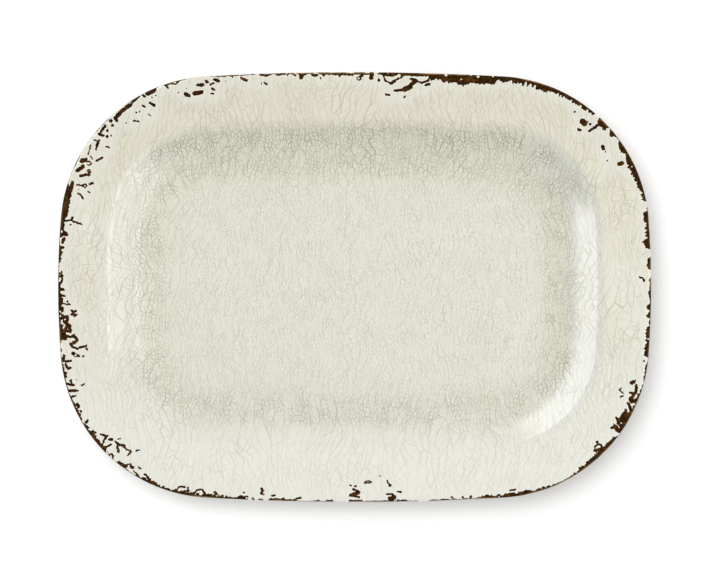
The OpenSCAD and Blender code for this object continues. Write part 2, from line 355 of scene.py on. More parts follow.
# Bare strokes and spots further in: width, then the plan x and y of its points.
STROKES = [
    # upper left corner
    (3.1, -184, 130.3, -180.2, 134.7, -176, 138.2, -172.6, 140.2), (1.6, -171.2, 142, -165.8, 147),
    (2.8, -187.7, 127.9), (2.0, -183.3, 127.9), (2.1, -186.4, 124.4), (1.8, -191.9, 124.4, -195.3, 119.6),
    (1.6, -197, 117.9, -193.3, 116.2), (1.8, -190.2, 120.3), (2.2, -190.5, 115.8), (1.3, -187.5, 116.5),
    (2.0, -197, 112.6, -198.4, 108.8), (1.2, -198.4, 108.8, -199.1, 105.6),
    (0.7, -200.8, 113.4, -197, 112.2), (1.0, -191.2, 108.3, -188.8, 107.2),
    (1.5, -198.8, 97.3, -194.3, 99.7), (0.8, -203.2, 109.3, -204.6, 103.8, -205, 102.1),
    (0.9, -203.2, 100.4, -201.8, 98.6), (3.0, -210.3, 97, -207, 97.9),
    (0.8, -206, 96.2, -204, 96.6, -202.6, 94.8, -204, 93.6, -205.8, 94.4), (2.6, -213.4, 89.6, -209, 92.8),
    (0.7, -205.6, 90, -203.8, 90.2, -203.4, 88.4, -205, 88, -205.6, 90), (1.8, -211.1, 85.6, -204.3, 86.6),
    (1.2, -213.9, 78.7, -209.6, 78),
    (0.9, -209.4, 78, -207.8, 79.4, -206.2, 77.8, -207.6, 76.2, -209.4, 78),
    (1.3, -204.3, 79.1, -201.9, 80.1), (0.8, -205.6, 73.6, -203.9, 72.7),
    (1.0, -213.2, 72.2, -210.4, 70.8), (1.4, -210.2, 69.6, -209.3, 68.4), (0.9, -212.4, 74.9),
    (2.4, -217.3, 80.4, -218.6, 74, -220.4, 68.5), (1.3, -222, 51, -218, 51.6, -216, 50.2, -210.5, 48.5),
    (1.8, -217.3, 53.3), (1.0, -218.7, 47.8), (1.5, -163.2, 147.8, -161.6, 146.6),
    (3.0, -159.3, 148.8, -154, 151.8), (0.9, -153.2, 147.3), (0.9, -155.9, 145.9),
    (2.0, -157.3, 141.7, -154.4, 140), (0.9, -163.4, 139.5, -161, 138.7), (1.3, -168.1, 134.2),
    (1.0, -165.5, 135.1), (0.9, -158.7, 133.2, -157.1, 132.2), (1.2, -170.3, 128.1, -166.7, 127.5),
    (1.0, -175.7, 126.3), (1.4, -144.9, 154.4, -143.7, 153.5),
    (1.2, -146.1, 155.6, -141, 156.8, -137.8, 156, -135.5, 158.3), (1.3, -135.9, 149.8),
    (1.0, -129.6, 152.7), (2.6, -130.4, 148.7, -127.6, 147.5), (3.2, -123.2, 149, -118, 149.9),
    (2.6, -120.4, 155.4, -116.9, 155.6), (1.8, -114.6, 158.6, -113.5, 157.7),
    (1.5, -110.7, 156, -108.7, 156.8), (2.2, -108, 159.7, -104.8, 158.5),
    (1.5, -109.7, 152.9, -108.3, 151.9), (0.8, -110.7, 149, -108.5, 148.9), (1.7, -110, 163, -100, 163.8),
    (0.8, -98.5, 163.8, -95.4, 163.4, -94, 161.5), (1.0, -90.7, 165, -82.8, 165),
    (1.4, -81.6, 164.6, -77.3, 164.2), (1.9, -87.3, 161, -83.1, 158.8), (0.7, -99.5, 158.6),
    # top edge, left half
    (1.7, -72.5, 163.6, -67.6, 162.9, -64.2, 164.3, -60.7, 165.3, -59.4, 163.6, -53.9, 164.3),
    (1.3, -51.8, 163.6, -49.7, 165, -47, 164.3, -45.6, 162.9),
    (2.6, -43.6, 165.3, -40.5, 162.9, -41.5, 160.9),
    (1.8, -39.4, 163.6, -34, 165.3, -31.9, 163, -29, 162.9), (0.8, -71.9, 156.5),
    (1.2, -69.7, 157.4, -67.6, 156), (2.0, -27, 164.8, -19.5, 164.4, -9.2, 164.2, -1.6, 163.4),
    (1.3, -24, 164, -24, 162.6), (1.3, -12, 164, -11.6, 162.2), (1.2, -26, 160.7),
    (2.4, 0.5, 164.8, 6.6, 165.3, 5.5, 163),
    (0.9, 4.8, 161.4, 3.4, 162, 1.8, 160.8, 3, 159.2, 4.8, 160.2, 4.8, 161.4), (1.2, 6.6, 164, 11.5, 164),
    (2.9, 13.5, 165.3, 12.8, 160.8), (1.2, 18.3, 164.3), (2.0, 18.7, 159.2),
    # top edge, the netted patch
    (1.8, 31, 151.3, 38, 151.8), (3.8, 38.6, 152.4, 42.6, 154), (3.0, 43, 155, 46.8, 158.8),
    (1.5, 43, 160.2, 46, 160), (2.4, 20.4, 164.6, 25, 163.2, 31, 163.4),
    (1.2, 22.4, 162, 23.6, 159, 28, 156.5), (1.7, 28, 156.5, 32, 159.4, 38, 163.4),
    (1.3, 46.8, 158.8, 51.6, 157.2, 56.6, 158.8, 58, 163), (1.6, 54.6, 155.4, 57.8, 156.2),
    (1.2, 24.2, 148.2, 27, 147.8), (1.0, 38, 146.2, 39.2, 146.8), (0.4, 49.7, 152.7),
    (2.2, 31, 164.4, 38, 164.2, 45, 163.2), (2.4, 47, 163.4, 56.6, 163.4),
    # upper right corner
    (4.4, 175.6, 127.4, 177.2, 126.2), (1.8, 181.3, 125.5), (1.5, 171.8, 121.6, 174.3, 120.8),
    (1.2, 169.3, 134.8), (1.6, 189.4, 126, 184.4, 122.6, 180.7, 120.3), (1.3, 192.7, 120.9),
    (2.8, 197.8, 117), (2.4, 191.2, 108.4, 191.6, 106.4), (1.2, 193.2, 104.3), (1.2, 194.7, 97.5),
    (3.0, 203.8, 94.6, 206, 95.4),
    # right side
    (1.2, 219, 7.7, 221.6, 6.8, 222.8, 4.6), (1.4, 222.8, -57), (2.6, 213, -73.8, 214.4, -73.2),
    (1.0, 215, -73, 216, -72), (0.8, 205.2, -77.8, 204, -79.4, 207, -82.2),
    (0.9, 204.6, -84.6, 206.6, -83.8), (1.9, 216.9, -75.6, 216.6, -80.4),
    (1.7, 212.2, -81.4, 215.6, -82.6), (1.8, 216.4, -80.6, 213.4, -85.4), (4.2, 213, -86.4, 213.8, -87.4),
    (1.8, 210.6, -89.6, 212.2, -93),
    # lower right corner
    (1.6, 208.2, -94.4, 209.6, -96.8), (3.8, 207.6, -98, 204.8, -102), (3.6, 206.6, -102.4, 203.6, -104.4),
    (1.3, 201.4, -100.6, 202.6, -102.6), (3.6, 200.6, -107.8, 203, -110.2),
    (1.5, 197.6, -108.6, 200, -107.6), (1.1, 199.6, -105.4), (2.4, 186.4, -126, 190.6, -124.2),
    (1.3, 185.4, -122.4, 187.4, -121, 190, -121.6, 190.4, -124), (1.2, 185.4, -122.4, 184.6, -126),
    (1.0, 186, -119.4, 187.2, -119.2),
    # bottom edge, right half
    (0.8, -3.4, -152.6, -2.4, -153), (1.8, 0.7, -153.6), (1.6, -0.9, -155.7, 3.6, -158.1),
    (2.2, 3.4, -158.3, -3, -160.2), (1.6, -3.2, -160.4, 3.3, -161.8), (2.0, -3.6, -164.9, 5, -165.2),
    (0.9, 7.4, -150.5, 11, -148.9, 13, -150, 10, -151.2, 7.4, -150.5), (1.0, 19.5, -145.6),
    (1.1, 24.9, -149, 26, -151, 27, -152.4), (2.0, 27, -152.6), (1.3, 24.9, -159.3, 29.6, -159.8),
    (2.6, 26.8, -162.9, 30.8, -161.8), (2.0, 29.4, -163, 28.5, -165), (1.1, 33.2, -157.5, 35.7, -158.1),
    (1.8, 33.7, -164.6), (1.3, 35.2, -165, 39.9, -164.1), (1.4, 57.9, -165, 61.5, -164.5),
    (1.6, 74.7, -161.8), (1.2, 76, -163.4, 80, -164.7, 84.7, -163.9, 83.2, -161.8),
    (1.8, 89.3, -161.3, 89.9, -163.9, 94.5, -164.7),
    (1.9, 94.4, -164, 98.6, -162.4, 103.8, -161.8, 107.9, -162.9),
    (0.8, 109.4, -161, 111.4, -159.8, 112.8, -161.6, 111, -163, 109.4, -161),
    (1.0, 119.8, -156.5, 123.9, -155.9),
    # bottom edge, left half
    (1.2, -117.6, -155.7, -115.5, -158.4, -115, -160.5), (1.0, -115, -160.4, -112.2, -159.8),
    (1.3, -107.7, -157.7, -106, -159.4), (1.2, -99, -160.8, -98.4, -162.5),
    (3.0, -89.4, -162.7, -86.4, -161.9), (0.9, -84.3, -164.5, -82.2, -161.5, -84, -161, -85, -163),
    (1.2, -85.3, -158.3), (1.0, -78.4, -162.5, -77.8, -164.6), (0.8, -75, -164.8),
    (1.1, -73.3, -163.9, -71.6, -163.6, -70.2, -164.8),
    (1.4, -71.6, -155.3, -70.9, -157, -71.9, -159.1, -70.2, -159.4), (0.7, -69.2, -156.9),
    (1.1, -63.5, -160.8, -61.5, -160.2), (2.6, -64.7, -163.9), (2.4, -55, -163.5),
    (1.6, -46.1, -164.4, -44.8, -162.9, -42, -162.5), (1.2, -31, -165.2, -27.6, -164.7),
    (1.2, -21.4, -165, -17.3, -164.6),
    # lower left corner
    (1.5, -221.7, -74.5, -218.1, -75.4, -216, -75.4), (1.5, -218.5, -71.9, -217.7, -75),
    (0.8, -214, -71.4), (1.2, -210.2, -75.6, -208.4, -75), (1.6, -220, -79.8, -213.3, -79.8),
    (1.2, -218.6, -84.7, -214.6, -83.8), (2.0, -213.3, -90.4, -212.4, -92.2), (1.6, -210.6, -95.7),
    (1.6, -205.3, -102.8, -207.1, -104.6), (1.0, -201.8, -110.7, -199.1, -112.1),
    (1.4, -191.2, -123.1, -187.7, -121.4), (1.3, -195.6, -113.4, -190.3, -114.7),
    (1.3, -191.2, -115.2, -193.4, -119.2), (1.5, -189, -117.4, -186.8, -117.4),
    (1.0, -182.3, -116.9, -180.7, -116.9), (1.7, -184.1, -119.2, -181.5, -121.4, -177, -122.2),
    (1.8, -182.8, -123.1, -181.5, -126.7), (1.1, -179.7, -121.4, -174.4, -125.8, -172.6, -126.2),
    (1.1, -174.4, -129.3, -172.6, -127.6), (1.1, -168.2, -126, -166, -125.5), (0.7, -171.3, -126.8),
    (1.1, -189, -129.3, -187.2, -128.3, -185.9, -129.8, -186.3, -131.5), (0.8, -190.3, -127.1),
    (2.5, -181.3, -135.2, -177.4, -138, -173, -137, -171, -139), (1.2, -166.4, -138.7, -165, -139.6),
    (1.0, -170.2, -141.6, -166.4, -145), (1.6, -161.2, -144.3, -157.6, -148.3),
    (1.1, -137.3, -155.8, -134.6, -153.6, -130.6, -153.9),
    (1.1, -131.1, -157.1, -127.5, -156.7, -128.4, -154.9),
    (1.2, -124, -159.4, -121.3, -156.3, -118.7, -155.8), (1.2, -108.1, -158, -106.3, -159.4),
    # left side
    (3.2, -226.3, 43.3, -222.4, 40.8), (1.2, -221.4, 39.4), (2.1, -223.6, 37.1, -224.8, 34.5),
    (1.6, -227.3, 30.6, -224.2, 30.3), (1.4, -225.9, 25.5), (1.3, -227.7, 10, -225.7, 11.5, -225.3, 9.3),
    (1.3, -227.7, 7.8, -224.9, 8.5, -225.3, 4.1, -227.7, 2.6),
    (1.7, -227.7, 1.2, -227.1, -1.8, -224, -2.1), (1.0, -227.7, -5.5, -223.1, -6.9),
    (2.2, -227.1, -6.2, -225.8, -10.6, -227.1, -14.3), (1.5, -221.1, -11.1),
    (0.9, -223.8, -12.8, -222.3, -13.2), (1.3, -221.2, -13.6, -219.4, -13.4),
    (1.4, -217.9, -18, -217.2, -19.1, -214.6, -18.7),
    (1.4, -218.3, -21.3, -216.1, -20.9, -215.7, -22.4, -214, -21.3),
    (1.9, -227.1, -16.5, -224.9, -16.2, -224.9, -18.7), (1.5, -227.7, -20.2, -224.9, -21.7, -224.2, -24.6),
    (2.2, -228, -24.6, -221.2, -22.8, -221.2, -25.4), (2.2, -223.4, -26.8, -219.4, -29.8, -219, -34.2),
    (2.2, -221.6, -30.5, -223.4, -34.2, -226.4, -33.5),
    (2.6, -227.7, -28.3, -226.4, -33.5, -226.8, -37.9, -222.7, -39.7), (2.0, -221, -34.2),
    (1.6, -222.7, -37.1, -219.4, -38.6, -216.1, -37.5),
    (2.2, -216.1, -37.5, -213.7, -41.2, -216.1, -43, -218.5, -43.8),
    (1.5, -217.9, -45.6, -214.2, -47.5, -210.2, -46.4, -206.9, -45.3), (1.9, -206.5, -47.8),
    (2.4, -216.8, -51.2, -215, -52.6, -212.8, -53), (1.5, -209.1, -53.4), (1.2, -226.4, -42.7),
    (0.9, -226.4, -47.8, -226, -49.3), (2.3, -223.8, -53, -224.6, -56.7),
    (1.6, -222.7, -57.4, -218.3, -57), (1.9, -222.3, -60, -220.5, -62.9, -219, -62.2), (1.0, -218, -71.4),
]

# Islands of glaze left standing in the bare band: width, x, y
ISLANDS = [
    (1.8, 70.4, 163.2), (1.3, 74.2, 165), (1.7, 89.6, 163.6), (2.0, 95, 162.1), (1.5, 106.6, 162.5),
    (1.2, 82, 160), (1.6, -215.7, -40.5), (1.4, -214.9, -52.4), (1.6, -204, -109.4), (1.6, -225.4, 42.6),
    (1.4, 111.2, -161.4), (1.4, 3.2, 160.6), (1.6, 226, -18.4), (1.3, 226.2, -40), (1.1, 204, -99.6),
    (1.0, 205.6, -104.8), (1.5, 188.6, -123.2), (1.4, -83.2, -162.4), (1.5, 213.4, 92.6),
    (1.4, -173.8, -137.8), (1.9, 26.8, 160.4), (2.6, 34.2, 162.6),
]

STEP = 0.45
FIELD_W0, FIELD_W1 = -6.5, 27.0


def unrolled(width):
    """The w of a break whose width is seen from above."""
    nose = NOSE_R * np.arccos(np.clip((NOSE_U - width) / (NOSE_R + FACE_T), -1, 1))
    return np.where(width < 0, -4.5, np.where(width < NOSE_U + 0.1, nose, width + RIM_START - NOSE_U))


def from_line(x, y, points):
    """Distance in plan from a line through points."""
    best = np.hypot(x - points[0][0], y - points[0][1])
    for (ax, ay), (bx, by) in zip(points, points[1:]):
        dx, dy = bx - ax, by - ay
        t = np.clip(((x - ax) * dx + (y - ay) * dy) / max(dx * dx + dy * dy, 1e-9), 0, 1)
        best = np.minimum(best, np.hypot(x - ax - t * dx, y - ay - t * dy))
    return best


def break_field():
    """How far each point of the rim lies inside the glaze, in millimetres; below zero it is bare slip."""
    n = round(ROUND / STEP)
    s = np.arange(n) * ROUND / n
    w = np.arange(FIELD_W0, FIELD_W1 + STEP / 2, STEP)
    s2, w2 = np.meshgrid(s, w, indexing="ij")
    band = np.array(BAND)
    at, _ = locate(band[:, 0], band[:, 1])
    order = np.argsort(at)
    width = np.interp(s, at[order], band[order, 2], period=ROUND)
    ragged = np.interp(s, at[order], band[order, 3], period=ROUND)
    teeth = noise(s2 / ROUND * 700, w2 / 5.5, 21, 700) + 0.6 * noise(s2 / ROUND * 1300, w2 / 2.6, 22, 1300)
    flow = noise(s2 / ROUND * 260, w2 / 9, 23, 260)
    edge = unrolled(width)[:, None] + ragged[:, None] * (0.75 * teeth + 0.45 * flow)
    field = w2 - np.maximum(edge, -4.5)
    u, _, nu, _ = TOP_CHAIN.at(w2)
    x, y = place(s2, u + nu * FACE_T)
    bx = x + 0.55 * noise(x / 1.7, y / 1.7, 31) + 0.3 * noise(x / 0.8, y / 0.8, 32)
    by = y + 0.55 * noise(x / 1.7, y / 1.7, 33) + 0.3 * noise(x / 0.8, y / 0.8, 34)

    def near(points, reach):
        """The grid's columns within reach of these points."""
        p = np.array(points)
        c, _ = locate(p[:, 0], p[:, 1])
        middle = c[0]
        off = (c - middle + ROUND / 2) % ROUND - ROUND / 2
        first, last = (middle + off.min() - reach) / ROUND * n, (middle + off.max() + reach) / ROUND * n
        return np.arange(math.floor(first), math.ceil(last)) % n

    for width, *numbers in STROKES:
        points = np.reshape(numbers, (-1, 2))
        c = near(points, 14)
        d = from_line(bx[c], by[c], points) - width / 2 - 0.22
        d = np.where(w2[c] < 0.3, 9, d)
        field[c] = np.minimum(field[c], d)
    for width, *point in ISLANDS:
        c = near([point], 6)
        d = width / 2 - from_line(bx[c], by[c], [point])
        field[c] = np.maximum(field[c], np.where(w2[c] < 0.3, -9, d))
    return np.concatenate([field, field[:1]]), w


FIELD, FIELD_W = break_field()
FIELD_N = len(FIELD) - 1


def break_depth(s, w):
    """The break field between its grid points."""
    a = np.clip(np.asarray(s) / ROUND * FIELD_N, 0, FIELD_N - 1e-6)
    b = np.clip((np.asarray(w) - FIELD_W0) / STEP, 0, len(FIELD_W) - 1.000001)
    i, j = a.astype(int), b.astype(int)
    p, q = a - i, b - j
    return ((FIELD[i, j] * (1 - p) + FIELD[i + 1, j] * p) * (1 - q)
            + (FIELD[i, j + 1] * (1 - p) + FIELD[i + 1, j + 1] * p) * q)


def contour(level):
    """The line where the break field has this value: its points (s, w), and pairs of them."""
    f = FIELD - level
    inside = f > 0
    ia, ja = np.nonzero(inside[:-1] != inside[1:])
    ib, jb = np.nonzero(inside[:, :-1] != inside[:, 1:])
    ta = np.clip(f[ia, ja] / (f[ia, ja] - f[ia + 1, ja]), 0.12, 0.88)
    tb = np.clip(f[ib, jb] / (f[ib, jb] - f[ib, jb + 1]), 0.12, 0.88)
    s = np.concatenate([ia + ta, ib]) * ROUND / FIELD_N
    w = np.concatenate([ja, jb + tb]) * STEP + FIELD_W0
    along, across = np.full(f.shape, -1), np.full(f.shape, -1)
    along[ia, ja] = np.arange(len(ia))
    across[ib, jb] = len(ia) + np.arange(len(ib))
    sides = np.stack([along[:-1, :-1], across[1:, :-1], along[:-1, 1:], across[:-1, :-1]], -1).reshape(-1, 4)
    count = (sides >= 0).sum(1)
    pairs = sides[count == 2]
    pairs = [pairs[pairs >= 0].reshape(-1, 2)]
    saddle = count == 4
    if saddle.any():
        q = sides[saddle]
        centre = (f[:-1, :-1] + f[1:, :-1] + f[:-1, 1:] + f[1:, 1:]).reshape(-1)[saddle] > 0
        same = centre == inside[:-1, :-1].reshape(-1)[saddle]
        same = same[:, None]
        pairs += [np.where(same, q[:, [0, 1]], q[:, [0, 3]]), np.where(same, q[:, [2, 3]], q[:, [1, 2]])]
    return np.stack([s, w], -1), np.concatenate(pairs)


# ---------------------------------------------------------------- pieces of the face

def jittered(s_step, w_list, seed):
    """Points of a loose grid over the rim, clear of the breaks."""
    rng = np.random.default_rng(seed)
    n = round(ROUND / s_step)
    s, w = np.meshgrid((np.arange(1, n) + 0.5) * ROUND / n, w_list, indexing="ij")
    s = s + (np.arange(len(w_list)) % 2 - 0.5) * s_step / 2 + rng.uniform(-0.15, 0.15, s.shape) * s_step
    return np.stack([s, w + 0 * s], -1).reshape(-1, 2)


def rim_piece(material):
    """The glaze over the lip and the rim, with its breaks cut right through to the slip."""
    line, line_pairs = contour(0.0)
    soft, _ = contour(0.75)
    inner = np.stack([np.arange(COLUMNS + 1) * ROUND / COLUMNS, np.full(COLUMNS + 1, RIM_END)], -1)
    loose = np.concatenate([
        jittered(2.2, spaced([(-5.4, 0.8), (4.2, None)]), 1),
        jittered(3.0, spaced([(6.4, 2.6), (RIM_END - 2, None)]), 2)])
    ends_w = np.concatenate([spaced([(-5.4, 0.8), (4.2, None)]), spaced([(6.4, 2.6), (RIM_END - 2, None)])])
    ends = np.concatenate([np.stack([np.full(len(ends_w), e), ends_w], -1) for e in (0.0, ROUND)])
    loose = np.concatenate([loose, ends])
    depth = break_depth(loose[:, 0], np.minimum(loose[:, 1], FIELD_W1))
    loose = loose[np.abs(depth - 0.4) > 0.75]
    hull = np.array([(0, FIELD_W0), (ROUND, FIELD_W0)])
    points = np.concatenate([line, soft, inner, loose, hull])
    first_inner = len(line) + len(soft)
    inner_ids = first_inner + np.arange(COLUMNS)
    edges = np.concatenate([line_pairs, np.stack([inner_ids, inner_ids + 1], -1)])
    spots = [Vector(p) for p in points.tolist()]
    made, _, faces, origin, _, _ = delaunay_2d_cdt(spots, edges.tolist(), [], 0, 1e-5)
    sw = np.array([tuple(p) for p in made], float)
    on_line = np.array([min(o) < len(line) if o else False for o in origin])
    faces = np.array(faces)
    # the two ends of the unrolled rim meet
    wrap = np.nonzero(sw[:, 0] > ROUND - 2e-3)[0]
    start = {round(sw[i, 1] * 200): i for i in np.nonzero(sw[:, 0] < 2e-3)[0]}
    to = np.arange(len(sw))
    for i in wrap:
        key = round(sw[i, 1] * 200)
        to[i] = next((start[k] for k in (key, key + 1, key - 1) if k in start), i)
    middle = sw[faces].mean(1)
    keep = break_depth(middle[:, 0], np.minimum(middle[:, 1], FIELD_W1)) > 0
    faces = to[faces[keep]]
    faces = faces[(faces[:, 0] != faces[:, 1]) & (faces[:, 1] != faces[:, 2]) & (faces[:, 0] != faces[:, 2])]
    used, faces = np.unique(faces, return_inverse=True)
    faces = faces.reshape(-1, 3)
    sw, on_line = sw[used], on_line[used]
    s, w = sw.T
    depth = break_depth(s, np.minimum(w, FIELD_W1)) + np.maximum(w - FIELD_W1, 0)
    depth = np.where(on_line, 0, np.maximum(depth, 0))
    rise = np.clip(depth / 0.75, 0, 1)
    t = SLIP_T + 0.08 + (FACE_T - SLIP_T - 0.08) * np.sqrt(1 - (1 - rise)**2)
    top = surface(TOP_CHAIN, s, w, t)
    n = normals(TOP_CHAIN, s, w, FACE_T)
    corners = top[faces]
    flat = np.cross(corners[:, 1] - corners[:, 0], corners[:, 2] - corners[:, 0])
    from_faces = np.zeros_like(top)
    for k in range(3):
        np.add.at(from_faces, faces[:, k], flat)
    from_faces /= np.maximum(np.linalg.norm(from_faces, axis=1, keepdims=True), 1e-9)
    n = np.where((depth < 1.0)[:, None], from_faces, n)
    # walls down to the slip, along the open edges at a break
    halves = np.concatenate([faces[:, [0, 1]], faces[:, [1, 2]], faces[:, [2, 0]]])
    known = set(map(tuple, halves.tolist()))
    open_edges = np.array([e for e in halves.tolist() if (e[1], e[0]) not in known])
    open_edges = open_edges[(w[open_edges] < RIM_END - 0.5).all(1)]
    ids = np.unique(open_edges)
    out = np.zeros_like(top)
    run = top[open_edges[:, 1]] - top[open_edges[:, 0]]
    side = np.cross(run, n[open_edges[:, 0]])
    for k in range(2):
        np.add.at(out, open_edges[:, k], side)
    out = out[ids] / np.maximum(np.linalg.norm(out[ids], axis=1, keepdims=True), 1e-9)
    low_side = surface(TOP_CHAIN, s[ids], w[ids], SLIP_T - 0.1)
    index = np.full(len(top), -1)
    index[ids] = np.arange(len(ids))
    a, b = index[open_edges[:, 0]], index[open_edges[:, 1]]
    base = len(top)
    walls = np.stack([base + b, base + a, base + len(ids) + a, base + len(ids) + b], -1)
    points = np.concatenate([top, top[ids], low_side])
    inset = TOP_CHAIN.at(w)[0]
    return make("face_glaze_rim", points, faces.tolist() + walls.tolist(),
                np.concatenate([n, out, out]), material, "face_glaze", "crackle_glaze",
                inset=np.concatenate([inset, inset[ids], inset[ids]]),
                depth=np.concatenate([depth, 0 * inset[ids], 0 * inset[ids]]))


def wall_piece(material):
    """The glaze over the shoulder, wall and cove."""
    w = spaced([(RIM_END, 0.5), (SHOULDER_END, 1.2), (WALL_END, 2.0), (COVE_END, 1.1), (WELL_W, None)])
    s2, w2 = np.meshgrid(S_COLUMNS, w)
    s2, w2 = s2.ravel(), w2.ravel()
    return make("face_glaze_wall", surface(TOP_CHAIN, s2, w2, FACE_T), grid_faces(len(w), COLUMNS),
                normals(TOP_CHAIN, s2, w2, FACE_T), material, "face_glaze", "crackle_glaze",
                inset=TOP_CHAIN.at(w2)[0], depth=30.0)


def disc_piece(name, rim, z, inner_u, gap, material, node, slot, up=1):
    """A flat middle, with the surface's slow unevenness, inside a border of points."""
    xs, ys = np.arange(-225, 226, gap), np.arange(-165, 166, gap)
    x, y = np.meshgrid(xs, ys)
    x = (x + (np.arange(len(ys)) % 2)[:, None] * gap / 2).ravel()
    y = y.ravel()
    _, u = locate(x, y)
    core = (np.abs(x) <= CORNER_X) & (np.abs(y) <= CORNER_Y)
    inside = core | ((u > inner_u + gap * 0.6) & (u < 900))
    x, y = x[inside], y[inside]
    border = len(rim)
    points = np.concatenate([rim[:, :2], np.stack([x, y], -1)])
    ids = np.arange(border)
    edges = np.stack([ids, (ids + 1) % border], -1)
    spots = [Vector(p) for p in points.tolist()]
    made, _, faces, _, _, _ = delaunay_2d_cdt(spots, edges.tolist(), [], 0, 1e-6)
    xy = np.array([tuple(p) for p in made], float)
    e = 0.5
    slope_x = (swell(xy[:, 0] + e, xy[:, 1]) - swell(xy[:, 0] - e, xy[:, 1])) / (2 * e)
    slope_y = (swell(xy[:, 0], xy[:, 1] + e) - swell(xy[:, 0], xy[:, 1] - e)) / (2 * e)
    n = np.stack([-slope_x * up, -slope_y * up, np.ones(len(xy))], -1) * up
    n /= np.linalg.norm(n, axis=1, keepdims=True)
    points = np.concatenate([xy, (z + up * swell(xy[:, 0], xy[:, 1]))[:, None]], 1)
    faces = [f if up > 0 else f[::-1] for f in faces]
    inset = np.minimum(locate(xy[:, 0], xy[:, 1])[1], CORNER_R)
    return make(name, points, faces, n, material, node, slot, inset=inset, depth=30.0)


def well_piece(material):
    border = surface(TOP_CHAIN, S_COLUMNS, np.full(COLUMNS, WELL_W), FACE_T)
    return disc_piece("face_glaze_well", border, FLOOR_Z + FACE_T, WELL_U, 3.6,
                      material, "face_glaze", "crackle_glaze")


# ---------------------------------------------------------------- slip, back, foot

def slip_piece(material):
    """The brown slip, which wraps the lip under both coats of glaze."""
    w = spaced([(NOSE_END - 4.0, 1.0), (NOSE_END, 0.45), (RIM_START, 1.6), (26.4, None)])
    s2, w2 = np.meshgrid(S_COLUMNS, w)
    s2, w2 = s2.ravel(), w2.ravel()
    uneven = 0.03 * noise(s2 / ROUND * 500, w2 / 2.4, 41, 500)
    t = SLIP_T + uneven - (SLIP_T + 0.06) * (w2 < NOSE_END - 3.9)
    return make("edge_slip_coat", surface(TOP_CHAIN, s2, w2, t), grid_faces(len(w), COLUMNS),
                normals(TOP_CHAIN, s2, w2, SLIP_T), material, "edge_slip", "brown_slip", along=w2)


FOOT_ROOT_U, FOOT_OUT, FOOT_IN, FOOT_TOP = 74.87, 75.62, 82.02, 4.0
FOOT_ROUND, FOOT_FILLET = 1.2, 1.2


def around(waves, seed):
    """Noise along the outline, this many waves round it."""
    return noise(S_COLUMNS / ROUND * waves, 0 * S_COLUMNS, seed, waves)


def back_piece(material):
    """The glaze under the rim and down the wall, to an uneven line on the outside of the foot."""
    fillet_u = FOOT_ROOT_U - FOOT_FILLET
    v = np.linspace(60, 100, 400)
    foot_v = float(np.interp(fillet_u, BACK_CHAIN.at(v)[0], v))
    start = 3.4 + 0.5 * around(60, 51) + 0.4 * around(300, 52)
    v = spaced([(0.0, 2.5), (RIM_END - RIM_START, 0.7), (SHOULDER_END - RIM_START, 2.2), (foot_v, None)])
    share = v / v[-1]
    v2 = v[:, None] + start[None, :] * (1 - share[:, None])
    s2 = np.broadcast_to(S_COLUMNS, v2.shape)
    points, n = surface(BACK_CHAIN, s2, v2, BACK_T), normals(BACK_CHAIN, s2, v2, BACK_T)
    edge = surface(BACK_CHAIN, S_COLUMNS, start, 0.05)[None]
    onward = surface(BACK_CHAIN, S_COLUMNS + 1, start, 0) - edge[0]
    edge_n = -np.cross(normals(BACK_CHAIN, S_COLUMNS, start, BACK_T), onward)[None]
    edge_n = edge_n / np.linalg.norm(edge_n, axis=-1, keepdims=True)
    stop = 1.5 + 0.35 * around(90, 53) + 0.2 * around(400, 54)
    rows, row_n = [], []
    z_start = points[-1, :, 2]
    for k, lean in zip((0.25, 0.6, 1.0, 1.02), (0.35, 0.75, 1.0, 1.0)):
        inset = fillet_u + (FOOT_OUT - 0.45 - fillet_u) * (1 - (1 - min(k, 1))**2)
        inset = inset + (0.42 if k > 1 else 0)
        z = z_start + (stop - z_start) * min(k, 1)
        x, y = place(S_COLUMNS, inset)
        x1, y1 = place(S_COLUMNS, inset - 1)
        rows.append(np.stack([x, y, z], -1))
        down = lean - 1.05 if k <= 1 else -1.0
        row_n.append(np.stack([(x1 - x) * lean, (y1 - y) * lean, np.full(COLUMNS, down)], -1))
    row_n = [r / np.linalg.norm(r, axis=-1, keepdims=True) for r in row_n]
    everything = np.concatenate([edge, points, np.stack(rows)])
    all_n = np.concatenate([edge_n, n, np.stack(row_n)])
    count = len(everything)
    return make("rim_back_glaze_coat", everything.reshape(-1, 3), grid_faces(count, COLUMNS, flip=True),
                all_n.reshape(-1, 3), material, "rim_back_glaze", "back_glaze")


def section_sweep(name, section, material, node, slot):
    """An open sweep of a section of (u, z) points round the outline."""
    p = np.array(section)
    step = np.gradient(p, axis=0)
    out = np.stack([step[:, 1], -step[:, 0]], -1)
    out /= np.linalg.norm(out, axis=1, keepdims=True)
    rows, row_n = [], []
    for (u, z), (nu, nz) in zip(p, out):
        x, y = place(S_COLUMNS, u)
        x1, y1 = place(S_COLUMNS, u + 1)
        rows.append(np.stack([x, y, np.full(COLUMNS, z)], -1))
        row_n.append(np.stack([(x1 - x) * nu, (y1 - y) * nu, np.full(COLUMNS, nz)], -1))
    return make(name, np.concatenate(rows), grid_faces(len(p), COLUMNS, flip=True),
                np.concatenate(row_n), material, node, slot)


